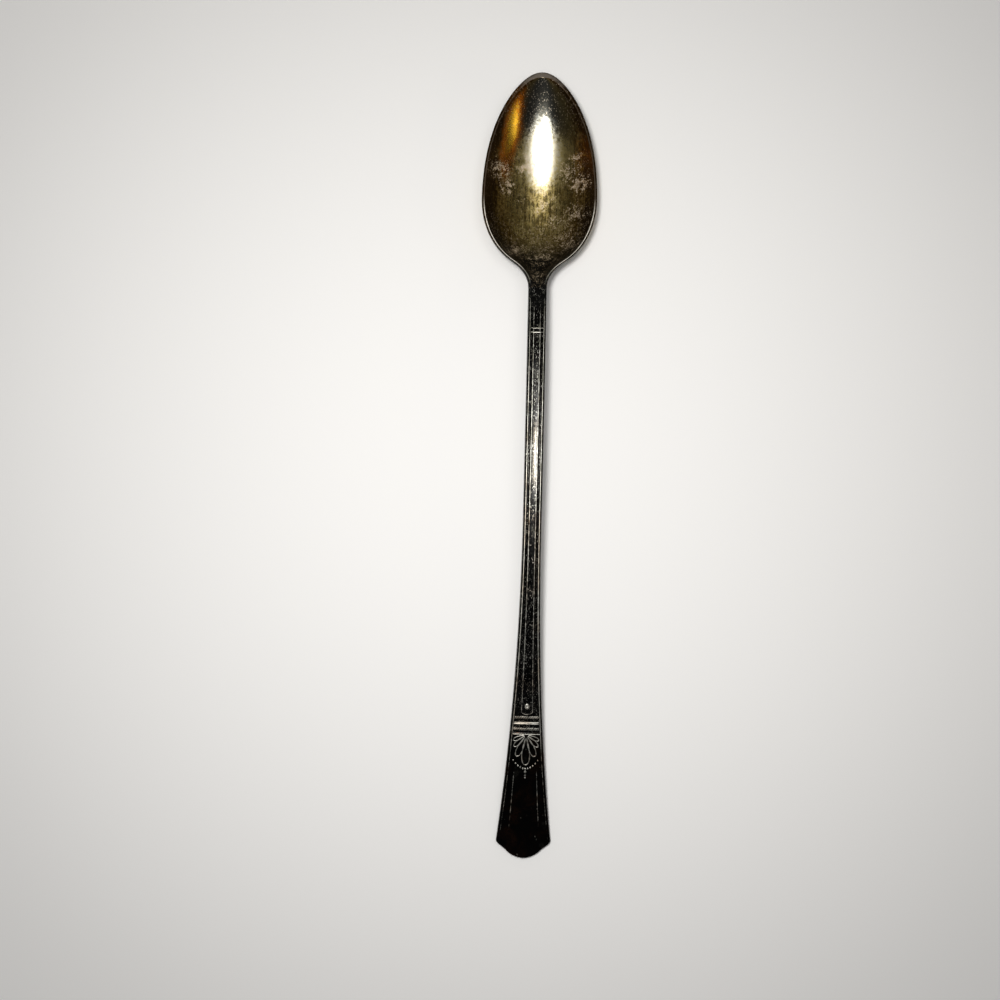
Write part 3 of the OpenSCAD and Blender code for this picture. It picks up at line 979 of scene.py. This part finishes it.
def bloom_mask(graph, place):
    """Where bloom may lie: soft round patches."""
    mask = 0.0
    for x, y, radius, strength in BLOOM_PATCHES:
        away = graph.oval(place, (x * MM, y * MM), (radius * MM, radius * MM))
        mask = graph.larger(mask, graph.ramp(away, 1.0, 0.0, end=strength))
    return mask


def bowl_plate(finish):
    """Yellow film with brown clouds, dark up the walls with partly painted shade and grey at the tip, with
    bloom and a rubbed rim.
    """
    material, graph, shader, place = new_plate("tarnished_bowl")
    along = graph.axes(place)["Y"]
    wall = graph.attribute("wall")
    clouds = graph.group(effect(tarnish_clouds), Place=place, Patches=190.0, Cover=0.5, Softness=0.2)
    mottle = graph.group(effect(tarnish_clouds), Place=place, Patches=1500.0, Cover=0.5, Softness=0.13)
    streaks = graph.noise(graph.stretch(place, STREAK_STRETCH), scale=2600.0, detail=3.0, rough=0.6)
    film = graph.level(0.5, clouds, mottle)
    film = graph.level(0.3, film, graph.ramp(streaks, 0.38, 0.64))
    frayed = graph.times(mottle, OVAL_FRAYING)
    tint = graph.blend(film, finish.film_dark, finish.film_light)
    # The sides are browner, partly painted shade, and the film turns grey towards the tip between them
    tint = graph.blend(graph.ramp(wall, *BROWN_SIDES, end=0.5), tint, finish.film_dark)
    tip = graph.ramp(along, *GREY_TIP, end=0.93)
    tip = graph.times(tip, graph.ramp(wall, *BROWN_SIDES, start=1.0, end=0.3))
    tint = graph.blend(tip, tint, finish.film_grey)
    # Yellow haze round the middle, where the film is rubbed thin; the pale middle and its yellow surround
    # are partly wear and partly painted highlight glow
    haze_and_glow = graph.plus(graph.oval(place, HAZE_GLOW_CENTRE, HAZE_GLOW_RADII), frayed)
    haze_and_glow = graph.ramp(haze_and_glow, 1.05, 0.45, end=0.9)
    tint = graph.blend(haze_and_glow, tint, finish.film_light)
    # Painted highlight glow: the pale film lies under the lamp's reflection, and is partly wear too
    thin = graph.ramp(graph.plus(graph.oval(place, THIN_GLOW_CENTRE, THIN_GLOW_RADII), frayed), 1.0, 0.5)
    thin_glow_tint = graph.blend(graph.ramp(along, *PALE_TIP), finish.film_thin, finish.film_pale)
    tint = graph.blend(thin, tint, thin_glow_tint)
    # Heavy film up the walls, with a ragged edge: partly heavy tarnish, partly painted shade on the walls
    ragged = graph.minus(wall, graph.times(graph.minus(film, 0.5), WALL_FRAYING))
    heavy_film_and_shade = graph.ramp(ragged, *HEAVY_SHADE_SIDES)
    tint = graph.blend(heavy_film_and_shade, tint, finish.film_wall)
    # One side of the bowl has an amber film, golden in its middle: partly tarnish and partly a painted
    # reflection of a warm lamp, with a painted gold glint in its middle
    from_amber = graph.plus(graph.oval(place, AMBER_CENTRE, AMBER_RADII, AMBER_TURN), frayed)
    from_amber = graph.minus(from_amber, graph.times(clouds, AMBER_FRAYING))
    amber_reflection_tint = graph.blend(graph.ramp(from_amber, 0.6, 0.1), finish.film_amber, finish.film_gold)
    amber = graph.times(graph.ramp(from_amber, 1.1, 0.4, end=0.9), graph.ramp(wall, *AMBER_FOOT))
    amber = graph.times(amber, graph.ramp(wall, *AMBER_TOP, start=0.15))
    tint = graph.blend(amber, tint, amber_reflection_tint)
    # Dark pits between the grains, and bloom as pale grains inside its patches
    grains = graph.noise(place, scale=3000.0, detail=3.0, rough=0.6)
    clusters = graph.noise(place, scale=600.0, rough=0.6)
    pitted = graph.level(thin, graph.ramp(along, *PITTED, start=0.25, end=0.7), 0.1)
    pits = graph.times(graph.ramp(grains, 0.48, 0.34), pitted)
    tint = graph.blend(pits, tint, finish.film_wall)
    dense = graph.times(bloom_mask(graph, place), graph.ramp(clusters, 0.32, 0.6))
    least = graph.minus(0.7, graph.times(dense, 0.28))
    bloom = graph.ramp(grains, least, graph.plus(least, 0.1))
    uneven = graph.noise(place, scale=1600.0, detail=3.0, rough=0.6)
    bloom = graph.times(bloom, graph.ramp(uneven, 0.34, 0.62, start=0.3))
    specks = graph.group(effect(bright_specks), Place=place, Spacing=3400.0, Share=0.35, Size=0.45)
    speckled = graph.ramp(along, *SPECKED_HEEL, start=0.1, end=0.6)
    speckled = graph.plus(speckled, graph.ramp(along, *SPECKED_TIP, end=0.2))
    bloom = graph.larger(bloom, graph.times(specks, speckled))
    tint = graph.blend(bloom, tint, finish.bloom)
    # Heavy tarnish runs out of the neck into the heel, under the bloom
    neck = graph.ramp(graph.plus(along, graph.times(clusters, NECK_FRAYING)), *TARNISHED_NECK)
    tint = graph.blend(graph.times(neck, graph.level(bloom, 1.0, 0.2)), tint, finish.black)
    # The rim is dull at the tip and the shoulders, dark along the sides and rubbed bright along the heel,
    # whose silver is partly a painted highlight
    bright = graph.group(effect(rubbed_ridges), Place=place, Breakup=500.0, Loss=0.3)
    rim = graph.blend(graph.ramp(along, *DARK_RIM, end=0.65), finish.rim, finish.film_wall)
    rim = graph.blend(graph.ramp(along, *SILVER_RIM), rim, finish.silver)
    rim = graph.blend(graph.ramp(along, *DULL_RIM), rim, finish.dull)
    rim = graph.blend(graph.ramp(along, *BLACK_RIM), rim, finish.black)
    tint = graph.blend(bright, tint, rim)
    smeared = graph.ramp(graph.level(0.55, streaks, clusters), 0.41, 0.56)
    smeared = graph.times(smeared, graph.ramp(along, *SMEARED))
    finishes = {
        "haze_and_glow": haze_and_glow, "thin": thin, "smeared": smeared, "heavy_film_and_shade": heavy_film_and_shade,
        "neck": neck, "amber": amber, "bloom": bloom, "bright": bright,
    }
    rough = graph.ramp(along, *DULLED_HEEL, start=0.15, end=0.2)
    for name, roughness in BOWL_ROUGHNESS.items():
        rough = graph.level(finishes[name], rough, roughness)
    metal = graph.level(bloom, 1.0, BLOOM_METAL)
    scratches = graph.group(effect(hairlines), Place=place, Fineness=SCRATCH_FINENESS)
    finish_plate(graph, shader, tint, rough, metal, graph.level(0.4, scratches, grains), BOWL_PITTING)
    return material


# The top of the arch is rubbed through, and the paler film there is partly a painted highlight along the
# panel: its place along the spoon, the half width and half length between which that fades, and how far its
# ends fray
WORN_SHEEN_AT = 4 * MM
WORN_SHEEN_HALF_W = (0.48 * MM, 0.22 * MM)
WORN_SHEEN_HALF_LEN = (14 * MM, 10 * MM)
WORN_SHEEN_FRAYING = 12 * MM
# Places along the handle between which its ridges get more worn, and browner
HELD = (40 * MM, -40 * MM)
BROWNED = (25 * MM, -10 * MM)
BLACK_ROUGH = 0.2
FILM_ROUGH = 0.26
WORN_ROUGH = 0.5


def handle_plate(name, finish, film, film_cover, loss, spacing, specks, pitting):
    """Black tarnish with a thin film in patches, rubbed through on top of the arch with a painted highlight
    there, grey and tan on the worn ridges, pitted, with scattered specks."""
    material, graph, shader, place = new_plate(name)
    axes = graph.axes(place)
    clouds = graph.group(effect(tarnish_clouds), Place=place, Patches=260.0, Cover=film_cover, Softness=0.12)
    grains = graph.noise(place, scale=2800.0, detail=3.0, rough=0.6)
    thin = graph.times(clouds, graph.ramp(grains, 0.36, 0.56))
    tint = graph.blend(thin, finish.black, film)
    # Painted highlight: a paler film down the middle of the panel on top of the arch, partly wear too
    from_arch = graph.math("ABSOLUTE", graph.minus(axes["Y"], WORN_SHEEN_AT))
    from_arch = graph.plus(from_arch, graph.times(grains, WORN_SHEEN_FRAYING))
    middle = graph.ramp(graph.math("ABSOLUTE", axes["X"]), *WORN_SHEEN_HALF_W, start=0.15)
    through = graph.times(middle, graph.ramp(from_arch, *WORN_SHEEN_HALF_LEN))
    tint = graph.blend(through, tint, finish.smoke)
    stains = graph.group(effect(bright_specks), Place=place, Spacing=430.0, Share=0.12, Size=0.42)
    stains = graph.times(stains, graph.ramp(grains, 0.36, 0.6, end=0.16))
    tint = graph.blend(stains, tint, finish.dull)
    ridges = graph.group(effect(rubbed_ridges), Place=place, Breakup=1000.0, Loss=loss)
    speck = graph.group(effect(bright_specks), Place=place, Spacing=spacing, Share=specks, Size=0.45)
    fading = graph.ramp(graph.noise(place, scale=300.0, rough=0.6), 0.3, 0.6, end=0.75)
    bright = graph.larger(ridges, graph.times(speck, fading))
    # The lower handle is held most, so its ridges are worn most, and tan in places
    held = graph.ramp(axes["Y"], *HELD, end=0.14)
    wear = graph.plus(graph.noise(place, scale=330.0, rough=0.65), held)
    browned = graph.ramp(graph.noise(place, scale=130.0, detail=2.0), 0.44, 0.6)
    browned = graph.times(browned, graph.ramp(axes["Y"], *BROWNED, start=0.15))
    dull = graph.blend(browned, finish.dull, finish.rust)
    worn = graph.blend(browned, finish.worn, finish.tan)
    worn = graph.blend(graph.ramp(wear, 0.4, 0.62), dull, worn)
    tint = graph.blend(bright, tint, worn)
    rough = graph.level(bright, graph.level(thin, BLACK_ROUGH, FILM_ROUGH), WORN_ROUGH)
    scratches = graph.group(effect(hairlines), Place=place, Fineness=SCRATCH_FINENESS)
    finish_plate(graph, shader, tint, rough, 1.0, graph.level(0.6, scratches, grains), pitting)
    return material


def stem_plate(finish):
    """Black plate with a cool film and many specks."""
    return handle_plate(
        "tarnished_stem", finish, finish.slate, film_cover=0.5,
        loss=0.38, spacing=4600.0, specks=0.36, pitting=0.03 * MM)


def end_plate(finish):
    """Black plate with a brown film and a few specks."""
    return handle_plate(
        "tarnished_end", finish, finish.brown, film_cover=0.58,
        loss=0.45, spacing=2800.0, specks=0.016, pitting=0.012 * MM)


PLATES = {"bowl_plate": bowl_plate, "stem_plate": stem_plate, "end_plate": end_plate}


def plate(slot, scene):
    """The material of a slot, made the first time it is asked for."""
    made = bpy.data.materials.get("tarnished_" + slot.removesuffix("_plate"))
    return made or PLATES[slot](scene.teaspoon_finish)


# Operators

# Steps between the rows of each piece, along the spoon or, in degrees, round its tip and lobe
TIP_TURN = 0.8
HEEL_STEP = 0.22 * MM
NECK_STEP = 0.15 * MM
CROSSBAR_STEP = 0.06 * MM
PLAIN_STEP = 0.8 * MM
BEAD_STEP = 0.07 * MM
BAND_STEP = 0.05 * MM
PALMETTE_STEP = 0.07 * MM
FIELD_STEP = 0.3 * MM
CORNER_STEP = 0.1 * MM
LOBE_TURN = 2.5
# Room that the swag and its drop take below the palmette
SWAG_LEN = 4 * MM


class TEASPOON_OT_bowl(Operator):
    """Model the egg-shaped bowl with its flat rim"""
    bl_idname = "teaspoon.bowl"
    bl_label = "Bowl"

    def execute(self, context):
        blank = Blank(context.scene)
        turns = steps(90, 0, TIP_TURN)
        tip_side = [blank.belly_y + blank.bowl.belly_at * sin(radians(turn)) for turn in turns]
        heel_side = steps(blank.belly_y, blank.neck_y, HEEL_STEP)
        piece = skin("spoon_bowl", blank, tip_side + heel_side + [blank.neck_y], BOWL_SPANS)
        seat(piece, "bowl", plate("bowl_plate", context.scene))
        return {"FINISHED"}


class TEASPOON_OT_neck(Operator):
    """Model the neck, where the channels run out towards the bowl"""
    bl_idname = "teaspoon.neck"
    bl_label = "Neck"

    def execute(self, context):
        blank = Blank(context.scene)
        rows = steps(blank.neck_y, blank.stem_y, NECK_STEP) + [blank.stem_y]
        piece = skin("spoon_neck", blank, rows, REEDED_SPANS)
        seat(piece, "neck", plate("stem_plate", context.scene))
        return {"FINISHED"}


class TEASPOON_OT_stem(Operator):
    """Model the slender stem with its crossbars, wired panel, channels and bead"""
    bl_idname = "teaspoon.stem"
    bl_label = "Stem"

    def execute(self, context):
        blank = Blank(context.scene)
        plain_y = blank.bars[1] - blank.relief.crossbar_len
        bead_top = blank.bead_y + blank.relief.bead_len
        rows = steps(blank.stem_y, plain_y, CROSSBAR_STEP)
        rows += steps(plain_y, bead_top, PLAIN_STEP)
        rows += steps(bead_top, blank.collar_top, BEAD_STEP)
        piece = skin("spoon_stem", blank, rows + [blank.collar_top], REEDED_SPANS)
        seat(piece, "stem", plate("stem_plate", context.scene))
        return {"FINISHED"}


class TEASPOON_OT_collar(Operator):
    """Model the collar of three bands"""
    bl_idname = "teaspoon.collar"
    bl_label = "Collar"

    def execute(self, context):
        blank = Blank(context.scene)
        rows = steps(blank.collar_top, blank.collar_y, BAND_STEP) + [blank.collar_y]
        piece = skin("spoon_collar", blank, rows, CARVED_SPANS)
        seat(piece, "collar", plate("stem_plate", context.scene))
        return {"FINISHED"}


class TEASPOON_OT_handle_end(Operator):
    """Model the flared handle end with its palmette and lobe"""
    bl_idname = "teaspoon.handle_end"
    bl_label = "Handle end"

    def execute(self, context):
        blank = Blank(context.scene)
        handle = blank.handle
        plain_y = blank.collar_y - blank.relief.petal_len - SWAG_LEN
        corner_y = blank.end_y + handle.corner_at + 2 * handle.corner_r
        lobe_y = blank.end_y + handle.lobe_len
        rows = steps(blank.collar_y, plain_y, PALMETTE_STEP)
        rows += steps(plain_y, corner_y, FIELD_STEP)
        rows += steps(corner_y, lobe_y, CORNER_STEP)
        turns = steps(0, 90, LOBE_TURN)
        rows += [blank.end_y + handle.lobe_len * (1 - sin(radians(turn))) for turn in turns]
        piece = skin("spoon_handle_end", blank, rows + [blank.end_y], CARVED_SPANS)
        seat(piece, "handle_end", plate("end_plate", context.scene))
        return {"FINISHED"}


WHITE = (1.0, 1.0, 1.0)
TABLE_MIDDLE = (0.0, 0.0, 0.0)
BOWL_MIDDLE = (0.0, 0.08, 0.005)
# Lamps: name, place, size, power, colour, the point it is turned towards and its spread in degrees
LAMPS = (
    ("overhead", (-0.029, 0.012, 0.25), (0.035, 0.031), 0.44, WHITE, TABLE_MIDDLE, 180),
    ("glow", (0.0, 0.0155, 0.25), (0.16, 0.11), 0.18, WHITE, TABLE_MIDDLE, 180),
    ("side", (0.45, -0.07, 0.26), (0.26, 0.28), 0.0030, (1.0, 0.80, 0.52), BOWL_MIDDLE, 20),
    ("side_middle", (0.44, -0.055, 0.262), (0.06, 0.05), 0.0004, (1.0, 0.85, 0.55), BOWL_MIDDLE, 20),
)
# The table's half width, the distances over which the lamps' light on it gives out, and the glow that
# takes its place there
TABLE_HALF = 0.8
LAMP_REACH = (0.15, 0.4)
FAR_TABLE = 0.66
PAPER_ROUGH = 0.9
PAPER_GLOSS = 0.1
# The room's light, and the directions between which it changes
ROOM_DIM = (0.10, 0.10, 0.102, 1.0)
ROOM_PALE = (0.25, 0.245, 0.235, 1.0)
ROOM_TURN = (-0.1, 0.8)
WALL_TOP = (0.3, 0.2)
SENSOR_WIDTH = 36
CLIP_START = 0.01


def area_lamp(name, place, size, power, tint, aim, spread):
    """A soft lamp of that size in metres, turned towards a point, with a spread in degrees."""
    data = bpy.data.lights.new(name, "AREA")
    data.shape = "ELLIPSE"
    data.size, data.size_y = size
    data.energy = power
    data.color = tint
    data.spread = radians(spread)
    lamp = bpy.data.objects.new(name, data)
    lamp.location = place
    lamp.rotation_euler = (Vector(aim) - Vector(place)).to_track_quat("-Z", "Y").to_euler()
    lamp.visible_camera = False
    bpy.context.scene.collection.objects.link(lamp)


def seen_directly(graph):
    """1 for the eye and for what shows in the metal, 0 for the light that falls on things."""
    path = graph.add("ShaderNodeLightPath").outputs
    seen = graph.larger(path["Is Camera Ray"], path["Is Glossy Ray"])
    return graph.larger(seen, path["Is Transmission Ray"])


def pale_table(stage):
    """A wide sheet of pale paper under the spoon, which stays pale beyond the reach of the lamps."""
    bm = bmesh.new()
    bmesh.ops.create_grid(bm, x_segments=1, y_segments=1, size=TABLE_HALF)
    mesh = bpy.data.meshes.new("table")
    bm.to_mesh(mesh)
    bm.free()
    material = bpy.data.materials.new("paper")
    material.use_nodes = True
    graph = Graph(material.node_tree)
    shader = material.node_tree.nodes["Principled BSDF"]
    graph.feed(shader.inputs["Base Color"], stage.paper)
    place = graph.add("ShaderNodeTexCoord").outputs["Object"]
    far = graph.ramp(graph.oval(place, (0.0, 0.0), (1.0, 1.0)), *LAMP_REACH, end=FAR_TABLE)
    graph.feed(shader.inputs["Emission Color"], stage.backdrop)
    graph.feed(shader.inputs["Emission Strength"], graph.times(far, seen_directly(graph)))
    shader.inputs["Roughness"].default_value = PAPER_ROUGH
    shader.inputs["Specular IOR Level"].default_value = PAPER_GLOSS
    mesh.materials.append(material)
    table = bpy.data.objects.new("table", mesh)
    bpy.context.scene.collection.objects.link(table)


def room(scene):
    """Dim room light, paler beyond the tip of the bowl, behind a pale wall low down."""
    world = bpy.data.worlds.new("room")
    world.use_nodes = True
    graph = Graph(world.node_tree)
    axes = graph.axes(graph.add("ShaderNodeTexCoord").outputs["Generated"])
    tint = graph.blend(graph.ramp(axes["Y"], *ROOM_TURN), ROOM_DIM, ROOM_PALE)
    low = graph.times(graph.ramp(axes["Z"], *WALL_TOP), seen_directly(graph))
    tint = graph.blend(low, tint, scene.teaspoon_stage.backdrop)
    graph.feed(world.node_tree.nodes["Background"].inputs["Color"], tint)
    scene.world = world


class TEASPOON_OT_stage(Operator):
    """Set up the pale table, the lamps and the camera that looks straight down"""
    bl_idname = "teaspoon.stage"
    bl_label = "Stage"

    def execute(self, context):
        scene = context.scene
        stage = scene.teaspoon_stage
        pale_table(stage)
        room(scene)
        for lamp in LAMPS:
            area_lamp(*lamp)
        data = bpy.data.cameras.new("camera")
        data.lens = stage.camera_lens
        data.sensor_width = SENSOR_WIDTH
        data.clip_start = CLIP_START
        camera = bpy.data.objects.new("camera", data)
        camera.location = (-stage.camera_left, -stage.camera_low, stage.camera_height)
        camera.rotation_euler = (0, 0, stage.camera_turn)
        scene.collection.objects.link(camera)
        scene.camera = camera
        scene.view_settings.view_transform = "Standard"
        return {"FINISHED"}


class VIEW3D_PT_teaspoon(Panel):
    """Lists the pieces of the spoon and the sizes and colours they take"""
    bl_label = "Teaspoon"
    bl_space_type = "VIEW_3D"
    bl_region_type = "UI"
    bl_category = "Teaspoon"

    def draw(self, context):
        for operator in OPERATORS:
            self.layout.operator(operator.bl_idname)
        for name in GROUPS:
            settings = getattr(context.scene, name)
            box = self.layout.box()
            for prop in settings.bl_rna.properties:
                if prop.identifier not in {"rna_type", "name"}:
                    box.prop(settings, prop.identifier)


GROUPS = {
    "teaspoon_bowl": TeaspoonBowl,
    "teaspoon_handle": TeaspoonHandle,
    "teaspoon_relief": TeaspoonRelief,
    "teaspoon_finish": TeaspoonFinish,
    "teaspoon_stage": TeaspoonStage,
}
OPERATORS = (
    TEASPOON_OT_bowl,
    TEASPOON_OT_neck,
    TEASPOON_OT_stem,
    TEASPOON_OT_collar,
    TEASPOON_OT_handle_end,
    TEASPOON_OT_stage,
)
CLASSES = (*GROUPS.values(), *OPERATORS, VIEW3D_PT_teaspoon)


def register():
    for cls in CLASSES:
        bpy.utils.register_class(cls)
    for name, group in GROUPS.items():
        setattr(bpy.types.Scene, name, PointerProperty(type=group))


def unregister():
    for name in GROUPS:
        delattr(bpy.types.Scene, name)
    for cls in reversed(CLASSES):
        bpy.utils.unregister_class(cls)


def main():
    register()
    bpy.ops.teaspoon.bowl()
    bpy.ops.teaspoon.neck()
    bpy.ops.teaspoon.stem()
    bpy.ops.teaspoon.collar()
    bpy.ops.teaspoon.handle_end()
    bpy.ops.teaspoon.stage()


if __name__ == "__main__":
    main()
